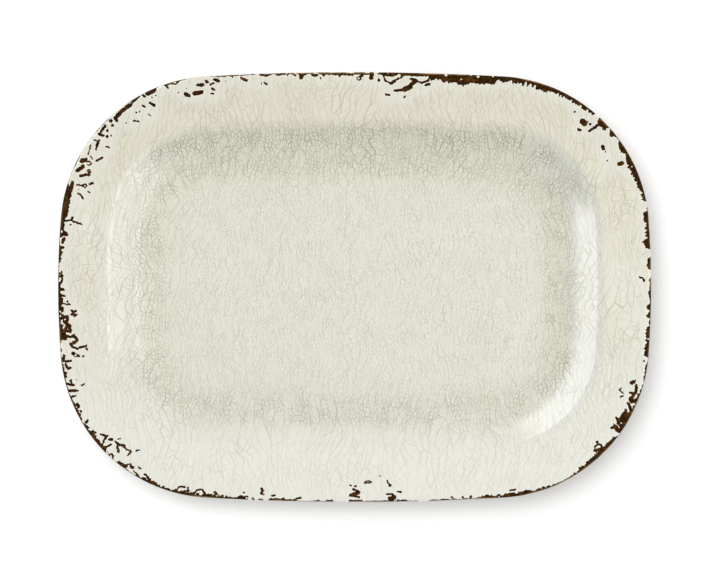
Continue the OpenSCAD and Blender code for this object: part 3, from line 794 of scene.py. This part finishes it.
def foot_piece(material):
    """The bare foot that the platter stands on."""
    middle, flat = (FOOT_OUT + FOOT_IN) / 2, (FOOT_IN - FOOT_OUT) / 2 - FOOT_ROUND
    section = [(FOOT_ROOT_U - 0.3, FOOT_TOP + 0.6), (FOOT_OUT, FOOT_ROUND + 1.2)]
    turns = [math.radians(15 * i) for i in range(7)]
    bend = [(FOOT_ROUND * math.cos(a), FOOT_ROUND * (1 - math.sin(a))) for a in turns]
    section += [(middle - flat - u, z) for u, z in bend]
    section += [(middle - flat / 2, 0.03), (middle, 0.0), (middle + flat / 2, 0.03)]
    section += [(middle + flat + u, z) for u, z in reversed(bend)]
    section += [(FOOT_IN, FOOT_ROUND + 1.2), (FOOT_IN + 0.9, FOOT_TOP + 0.2)]
    return section_sweep("foot_ring_bare", section[::-1], material, "foot_ring", "dry_foot")


def base_piece(material):
    """The glaze inside the foot."""
    stop = 1.5 + 0.3 * around(90, 71) + 0.2 * around(400, 72)
    level = FOOT_TOP - BACK_T
    # run in from the foot, share of the way up to the coat's level, and the normal
    profile = [(0.02, 0.0, (-0.2, -1)), (0.45, 0.0, (1, -0.1)), (0.6, 0.55, (0.95, -0.3)),
               (1.0, 0.86, (0.7, -0.7)), (1.7, 1.0, (0.2, -1)), (3.2, 1.0, (0, -1))]
    rows, row_n = [], []
    for run, share, (nu, nz) in profile:
        u = FOOT_IN + run
        x, y = place(S_COLUMNS, u)
        x1, y1 = place(S_COLUMNS, u + 1)
        z = stop + (level - stop) * share - share * swell(x, y)
        rows.append(np.stack([x, y, z], -1))
        n = np.stack([(x1 - x) * nu, (y1 - y) * nu, np.full(COLUMNS, nz)], -1)
        row_n.append(n / math.hypot(nu, nz))
    make("base_glaze_edge", np.concatenate(rows), grid_faces(len(rows), COLUMNS, flip=True),
         np.concatenate(row_n), material, "base_glaze", "base_glaze")
    return disc_piece("base_glaze_coat", rows[-1], level, u, 5.0, material, "base_glaze", "base_glaze", up=-1)


# ---------------------------------------------------------------- materials

class Graph:
    """Short ways to build a material's nodes."""

    def __init__(self, name):
        self.material = bpy.data.materials.new(name)
        self.material.use_nodes = True
        self.tree = self.material.node_tree
        self.tree.nodes.clear()
        self.shader = self.tree.nodes.new("ShaderNodeBsdfPrincipled")
        out = self.tree.nodes.new("ShaderNodeOutputMaterial")
        self.tree.links.new(self.shader.outputs[0], out.inputs[0])
        coord = self.tree.nodes.new("ShaderNodeTexCoord")
        self.mm = self.vector("MULTIPLY", coord.outputs["Object"], (1000, 1000, 1000))

    def put(self, socket, value):
        if isinstance(value, bpy.types.NodeSocket):
            self.tree.links.new(value, socket)
        elif value is not None:
            socket.default_value = value

    def math(self, operation, a, b=None, c=None, clamp=False):
        node = self.tree.nodes.new("ShaderNodeMath")
        node.operation, node.use_clamp = operation, clamp
        for socket, value in zip(node.inputs, (a, b, c)):
            self.put(socket, value)
        return node.outputs[0]

    def vector(self, operation, a, b=None, c=None, out=0):
        node = self.tree.nodes.new("ShaderNodeVectorMath")
        node.operation = operation
        for socket, value in zip(node.inputs, (a, b, c)):
            self.put(socket, value)
        return node.outputs[out]

    def noise(self, vector, size, detail=2.0, rough=0.5, flat=True, out=0):
        node = self.tree.nodes.new("ShaderNodeTexNoise")
        node.noise_dimensions = "2D" if flat else "3D"
        self.put(node.inputs["Vector"], vector)
        node.inputs["Scale"].default_value = 1.0 / size
        node.inputs["Detail"].default_value = detail
        node.inputs["Roughness"].default_value = rough
        return node.outputs[out]

    def ramp(self, value, a, b, lo=0.0, hi=1.0):
        """A smooth step from lo at a to hi at b."""
        node = self.tree.nodes.new("ShaderNodeMapRange")
        node.interpolation_type = "SMOOTHSTEP"
        for key, number in zip(("Value", "From Min", "From Max", "To Min", "To Max"), (value, a, b, lo, hi)):
            self.put(node.inputs[key], number)
        return node.outputs[0]

    def mix(self, factor, a, b, mode="MIX"):
        node = self.tree.nodes.new("ShaderNodeMix")
        node.data_type, node.blend_type = "RGBA", mode
        for socket, value in zip((node.inputs[0], node.inputs[6], node.inputs[7]), (factor, a, b)):
            self.put(socket, value)
        return node.outputs[2]

    def attribute(self, name):
        node = self.tree.nodes.new("ShaderNodeAttribute")
        node.attribute_name = name
        return node.outputs["Fac"]

    def wander(self, vector, *bends):
        """The vector pushed about smoothly, by each (size, amount) in millimetres."""
        for size, amount in bends:
            push = self.vector("SUBTRACT", self.noise(vector, size, 0.0, out=1), (0.5, 0.5, 0.5))
            vector = self.vector("MULTIPLY_ADD", push, (amount, amount, 0), vector)
        return vector

    def cracks(self, vector, cell, turn, shift, width):
        """Lines of one width between the cells of a stretched pattern: 1 on a line, 0 off it."""
        spin = self.tree.nodes.new("ShaderNodeVectorRotate")
        spin.rotation_type = "Z_AXIS"
        spin.inputs["Angle"].default_value = math.radians(turn)
        self.put(spin.inputs["Vector"], vector)
        scale = (1 / cell[0], 1 / cell[1], 0)
        q = self.vector("MULTIPLY_ADD", spin.outputs[0], scale, (shift, shift * 0.7, 0))
        spots = []
        for feature in ("F1", "F2"):
            node = self.tree.nodes.new("ShaderNodeTexVoronoi")
            node.voronoi_dimensions, node.feature = "2D", feature
            node.inputs["Scale"].default_value = 1.0
            node.inputs["Randomness"].default_value = 0.92
            self.put(node.inputs["Vector"], q)
            spots.append(node.outputs["Position"])
        across = self.vector("SUBTRACT", spots[1], spots[0])
        back = self.vector("MULTIPLY", q, (-1, -1, 0))
        middle = self.vector("MULTIPLY_ADD", self.vector("ADD", *spots), (0.5, 0.5, 0), back)
        ahead = self.vector("DOT_PRODUCT", middle, across, out=1)
        length = self.vector("LENGTH", self.vector("MULTIPLY", across, scale), out=1)
        distance = self.math("DIVIDE", ahead, self.math("MAXIMUM", length, 1e-4))
        return self.ramp(distance, 0.0, width, 1.0, 0.0)

    def bump(self, height, millimetres, normal=None):
        node = self.tree.nodes.new("ShaderNodeBump")
        node.inputs["Strength"].default_value = 1.0
        node.inputs["Distance"].default_value = millimetres * MM
        self.put(node.inputs["Height"], height)
        self.put(node.inputs["Normal"], normal)
        return node.outputs[0]

    def finish(self, color, roughness, normal=None):
        self.put(self.shader.inputs["Base Color"], color)
        self.put(self.shader.inputs["Roughness"], roughness)
        self.put(self.shader.inputs["Normal"], normal)
        return self.material


def srgb(r, g, b):
    """A linear colour from screen values."""
    shares = (r / 255, g / 255, b / 255)
    return tuple(c / 12.92 if c <= 0.04045 else ((c + 0.055) / 1.055)**2.4 for c in shares) + (1,)


def face_material():
    g = Graph("crackle_glaze_face")
    inset, depth = g.attribute("inset"), g.attribute("depth")
    cloud = g.noise(g.mm, 60, 3.0, 0.6)
    fleck = g.noise(g.mm, 9, 3.0, 0.6)
    patch = g.noise(g.mm, 24, 2.0, 0.55)
    across = g.tree.nodes.new("ShaderNodeSeparateXYZ")
    g.put(across.inputs[0], g.mm)
    far = g.ramp(across.outputs["Y"], 40, 110)
    # 1 in the cove, falling away to the wall and to the floor. At the far side it takes in the wall.
    cove = g.math("MAXIMUM", g.ramp(inset, 46, 62), g.math("MULTIPLY", far, g.ramp(inset, 35, 48)))
    cove = g.math("MULTIPLY", cove, g.ramp(inset, 96, 72))
    floor = g.ramp(inset, 60, 92)
    near = g.ramp(depth, 9, 1.5)
    flow = g.wander(g.mm, (46, 22), (12, 5))
    small = g.wander(g.mm, (16, 6), (5, 1.6))
    long_lines = g.cracks(flow, (4.8, 27), 3, 3.1, 0.4)
    mid_lines = g.cracks(flow, (5.2, 12), -6, 7.7, 0.38)
    lean_lines = g.cracks(flow, (6.0, 20), 38, 11.3, 0.38)
    back_lines = g.cracks(flow, (6.0, 20), -41, 17.9, 0.38)
    fine_lines = g.cracks(small, (2.3, 3.3), 8, 23.3, 0.4)
    ridge_glint_lines = g.cracks(small, (3.0, 9), -7, 31.9, 0.46)
    fade = g.ramp(g.noise(g.mm, 17, 2.0), 0.3, 0.6, 0.5, 1.0)
    lean_zone = g.ramp(g.noise(g.mm, 46, 1.0), 0.42, 0.56)
    back_zone = g.ramp(g.noise(g.vector("ADD", g.mm, (400, 90, 0)), 46, 1.0), 0.42, 0.56)
    calm = g.math("MULTIPLY_ADD", near, -0.45, 1.0)
    rim_lines = g.math("MAXIMUM", long_lines, g.math("MULTIPLY", mid_lines, 0.6))
    lean_lines = g.math("MULTIPLY", lean_lines, lean_zone)
    back_lines = g.math("MULTIPLY", back_lines, back_zone)
    slant = g.math("MAXIMUM", lean_lines, back_lines)
    rim_lines = g.math("MAXIMUM", rim_lines, g.math("MULTIPLY", slant, 0.75))
    rim_lines = g.math("MULTIPLY", g.math("MULTIPLY", rim_lines, fade), calm)
    rim_lines = g.math("MULTIPLY", rim_lines, g.math("MULTIPLY_ADD", floor, -0.3, 1.0))
    fine = g.math("MULTIPLY", fine_lines, g.ramp(g.noise(g.mm, 12, 2.0), 0.3, 0.65, 0.35, 1.0))
    shoulder = g.math("MULTIPLY", g.math("MULTIPLY", g.ramp(inset, 35, 41), g.ramp(inset, 58, 49)), far)
    dense = g.math("MAXIMUM", g.math("MULTIPLY_ADD", shoulder, 0.4, cove), g.math("MULTIPLY", floor, 0.7))
    fine = g.math("MULTIPLY", fine, dense)
    ridge_glints = g.math("MULTIPLY", ridge_glint_lines, g.math("MULTIPLY", floor, g.ramp(patch, 0.3, 0.6, 0.4, 1.0)))
    # colours
    cream = g.mix(g.ramp(cloud, 0.3, 0.7), srgb(226, 223, 207), srgb(230, 228, 213))
    cream = g.mix(g.math("MULTIPLY", g.ramp(fleck, 0.35, 0.75), 0.35), cream, srgb(219, 215, 194))
    # darker and warmer towards one long side, whiter and brighter towards the other: partly the glaze's own
    # tone, partly painted light and shade falling across the rim
    warm_shaded_side = g.ramp(across.outputs["Y"], 20, 150, 0.0, 0.75)
    pale_lit_side = g.ramp(across.outputs["Y"], -30, -140, 0.0, 0.75)
    cream = g.mix(warm_shaded_side, cream, srgb(218, 214, 194))
    cream = g.mix(pale_lit_side, cream, srgb(233, 233, 226))
    cream = g.mix(g.math("MULTIPLY", floor, 0.8), cream, srgb(224, 223, 208))
    cream = g.mix(g.math("MULTIPLY", cove, g.ramp(patch, 0.25, 0.7, 0.35, 0.7)), cream, srgb(221, 219, 200))
    # the wall at the two short ends is painted whiter and cooler: painted reflection under the highlight
    # bands there
    right = g.ramp(across.outputs["X"], 110, 175)
    left = g.ramp(across.outputs["X"], -110, -175, 0.0, 0.4)
    ends = g.math("ADD", right, left)
    wall = g.math("MULTIPLY", g.ramp(inset, 34, 40), g.ramp(inset, 66, 52))
    cream = g.mix(g.math("MULTIPLY", g.math("MULTIPLY", ends, wall), 0.6), cream, srgb(221, 223, 220))
    cream = g.mix(g.math("MULTIPLY", near, 0.5), cream, srgb(227, 227, 218))
    cream = g.mix(g.ramp(depth, 0.9, 0.0, 0.0, 0.7), cream, srgb(242, 237, 220))
    ink = g.mix(cove, srgb(162, 158, 132), srgb(128, 128, 108))
    color = g.mix(g.math("MULTIPLY", rim_lines, g.math("MULTIPLY_ADD", pale_lit_side, -0.22, 0.62)), cream, ink)
    color = g.mix(g.math("MULTIPLY", fine, g.math("MULTIPLY_ADD", far, 0.02, 0.56)), color, ink)
    # paler lines: painted highlights along raised crackle ridges, with a matching bump below
    color = g.mix(g.math("MULTIPLY", ridge_glints, 0.55), color, srgb(238, 238, 229))
    height = g.math("ADD", g.math("MULTIPLY", rim_lines, -0.35), g.math("MULTIPLY", fine, -0.35))
    height = g.math("MULTIPLY_ADD", ridge_glints, 0.5, height)
    ripple = g.noise(g.vector("MULTIPLY", g.mm, (1, 0.4, 1)), 5, 2.0)
    height = g.math("MULTIPLY_ADD", ripple, 0.9, height)
    roughness = g.math("MULTIPLY_ADD", fleck, 0.1, 0.15)
    return g.finish(color, roughness, g.bump(height, 0.12))


def slip_material():
    g = Graph("brown_slip_bare")
    along = g.attribute("along")
    mottle = g.noise(g.mm, 2.4, 3.0, 0.6, flat=False)
    broad = g.noise(g.mm, 26, 2.0, 0.5, flat=False)
    speck = g.noise(g.mm, 0.7, 2.0, 0.6, flat=False)
    brown = g.mix(g.ramp(mottle, 0.35, 0.7), srgb(32, 17, 2), srgb(66, 39, 8))
    golden = g.ramp(g.noise(g.mm, 4.5, 2.0, 0.6, flat=False), 0.5, 0.68)
    brown = g.mix(g.math("MULTIPLY", golden, 0.42), brown, srgb(116, 78, 26))
    g.shader.inputs["Specular IOR Level"].default_value = 0.03
    # a paler tan on the very lip: painted highlight where light catches the lip's rounding
    lip = g.ramp(g.math("ABSOLUTE", g.math("SUBTRACT", along, 0.2)), 2.6, 0.8)
    lip = g.math("MULTIPLY", lip, g.ramp(broad, 0.46, 0.6))
    lip = g.math("MULTIPLY", lip, g.ramp(mottle, 0.28, 0.55, 0.35, 1.0))
    color = g.mix(lip, brown, srgb(158, 133, 92))
    color = g.mix(g.math("MULTIPLY", g.ramp(speck, 0.6, 0.75), 0.5), color, srgb(100, 68, 26))
    roughness = g.math("MULTIPLY_ADD", mottle, 0.25, 0.42)
    return g.finish(color, roughness, g.bump(g.math("ADD", mottle, g.math("MULTIPLY", speck, 0.4)), 0.12))


def back_material(name, tint):
    g = Graph(name)
    cloud, fleck = g.noise(g.mm, 55, 3.0, 0.6), g.noise(g.mm, 8, 3.0, 0.6)
    flow = g.wander(g.mm, (30, 24), (10, 8))
    lines = g.cracks(flow, (14, 34), 12, 5.5, 0.34)
    small = g.cracks(flow, (8, 11), -20, 9.1, 0.3)
    lines = g.math("MAXIMUM", lines, g.math("MULTIPLY", small, 0.6))
    lines = g.math("MULTIPLY", lines, g.ramp(g.noise(g.mm, 20, 2.0), 0.35, 0.65, 0.1, 0.8))
    color = g.mix(g.ramp(cloud, 0.3, 0.7), srgb(*tint), srgb(226, 223, 208))
    color = g.mix(g.math("MULTIPLY", g.ramp(fleck, 0.4, 0.8), 0.4), color, srgb(212, 206, 184))
    color = g.mix(g.math("MULTIPLY", lines, 0.5), color, srgb(168, 162, 138))
    roughness = g.math("MULTIPLY_ADD", fleck, 0.15, 0.22)
    return g.finish(color, roughness, g.bump(g.math("MULTIPLY_ADD", lines, -0.6, cloud), 0.15))


def biscuit_material(name, light, dark, grain):
    g = Graph(name)
    cloud = g.noise(g.mm, 18, 3.0, 0.6, flat=False)
    sand = g.noise(g.mm, grain, 3.0, 0.65, flat=False)
    color = g.mix(g.ramp(cloud, 0.3, 0.7), srgb(*light), srgb(*dark))
    color = g.mix(g.math("MULTIPLY", g.ramp(sand, 0.58, 0.7), 0.6), color, srgb(150, 122, 88))
    roughness = g.math("MULTIPLY_ADD", sand, 0.2, 0.7)
    return g.finish(color, roughness, g.bump(sand, 0.25))


GLAZE = face_material()
rim_piece(GLAZE)
wall_piece(GLAZE)
well_piece(GLAZE)
slip_piece(slip_material())
back_piece(back_material("back_glaze_cream", (219, 215, 197)))
base_piece(back_material("base_glaze_cream", (216, 212, 194)))
BISCUIT = biscuit_material("dry_foot_biscuit", (205, 186, 154), (190, 168, 134), 0.8)
foot_piece(BISCUIT)
CLAY = biscuit_material("fired_clay_biscuit", (200, 181, 150), (186, 164, 131), 1.1)
clay = frame["nodes"]["clay_body"]
clay.data.materials.clear()
clay.data.materials.append(CLAY)
for polygon in clay.data.polygons:
    polygon.material_index = 0

# ---------------------------------------------------------------- floor, light, camera

def floor_piece():
    mesh = bpy.data.meshes.new("floor")
    side = 3.0
    corners = [(-side, -side, 0), (side, -side, 0), (side, side, 0), (-side, side, 0)]
    mesh.from_pydata(corners, [], [(0, 1, 2, 3)])
    g = Graph("floor_paper")
    tone = g.noise(g.mm, 160, 2.0, 0.5)
    color = g.mix(tone, srgb(243, 243, 243), srgb(248, 248, 248))
    g.shader.inputs["Specular IOR Level"].default_value = 0.1
    g.shader.inputs["Emission Color"].default_value = (1, 1, 1, 1)
    g.shader.inputs["Emission Strength"].default_value = 0.07
    mesh.materials.append(g.finish(color, 0.8))
    floor = bpy.data.objects.new("floor", mesh)
    bpy.context.scene.collection.objects.link(floor)
    return floor


def softbox(name, turn, up, far, size, power, lit, glossy=True, diffuse=True):
    """A softbox at an azimuth, elevation and distance that faces the platter and lights one collection."""
    a, e = math.radians(turn), math.radians(up)
    spot = (far * math.cos(e) * math.cos(a), far * math.cos(e) * math.sin(a), far * math.sin(e))
    light = bpy.data.lights.new(name, "AREA")
    light.shape, light.size, light.size_y, light.energy = "RECTANGLE", size[0], size[1], power
    lamp = bpy.data.objects.new(name, light)
    lamp.location = spot
    lamp.rotation_euler = (-Vector(spot)).to_track_quat("-Z", "Y").to_euler()
    lamp.visible_glossy, lamp.visible_diffuse = glossy, diffuse
    lamp.light_linking.receiver_collection = lit
    bpy.context.scene.collection.objects.link(lamp)


def studio(floor):
    scene = bpy.context.scene
    scene.view_settings.view_transform = "Standard"
    world = bpy.data.worlds.new("studio")
    world.use_nodes = True
    nodes, links = world.node_tree.nodes, world.node_tree.links
    coord, parts = nodes.new("ShaderNodeTexCoord"), nodes.new("ShaderNodeSeparateXYZ")
    level = nodes.new("ShaderNodeMapRange")     # the room is brighter overhead
    for key, value in (("From Min", 0.0), ("From Max", 1.0), ("To Min", 0.55), ("To Max", 0.85)):
        level.inputs[key].default_value = value
    links.new(coord.outputs["Generated"], parts.inputs[0])
    links.new(parts.outputs["Z"], level.inputs["Value"])
    links.new(level.outputs[0], nodes["Background"].inputs["Strength"])
    nodes["Background"].inputs["Color"].default_value = (1, 1, 1, 1)
    scene.world = world
    # the platter and the paper under it have lights of their own
    paper, dish = (bpy.data.collections.new(name) for name in ("paper", "dish"))
    for thing in scene.objects:
        if thing.type == "MESH":
            (paper if thing == floor else dish).objects.link(thing)
    softbox("fill_far", 50, 32, 2.4, (1.4, 1.4), 23.0, dish, glossy=False)
    softbox("fill_near", -105, 30, 2.4, (1.4, 1.4), 13.0, dish, glossy=False)
    softbox("shine_left", 150, 27, 1.5, (2.6, 0.95), 41.0, dish, diffuse=False)
    softbox("shine_right", -22, 20, 1.5, (1.3, 0.45), 4.2, dish, diffuse=False)
    softbox("shine_corner", -38, 22, 1.5, (0.55, 0.36), 2.2, dish, diffuse=False)
    softbox("shine_edge", -22, 50, 1.5, (1.2, 0.2), 4.5, dish, diffuse=False)
    softbox("paper_key", 135, 68, 2.0, (1.15, 1.15), 20.5, paper, glossy=False)
    camera = bpy.data.cameras.new("camera")
    camera.sensor_width, camera.lens, camera.clip_end = 36, 90, 50
    eye = bpy.data.objects.new("camera", camera)
    eye.location = (0.0003, 0.0023, TOP * MM + 0.5464 * camera.lens / camera.sensor_width)
    eye.rotation_euler = (0, 0, 0)
    scene.collection.objects.link(eye)
    scene.camera = eye


studio(floor_piece())

bpy.context.view_layer.update()
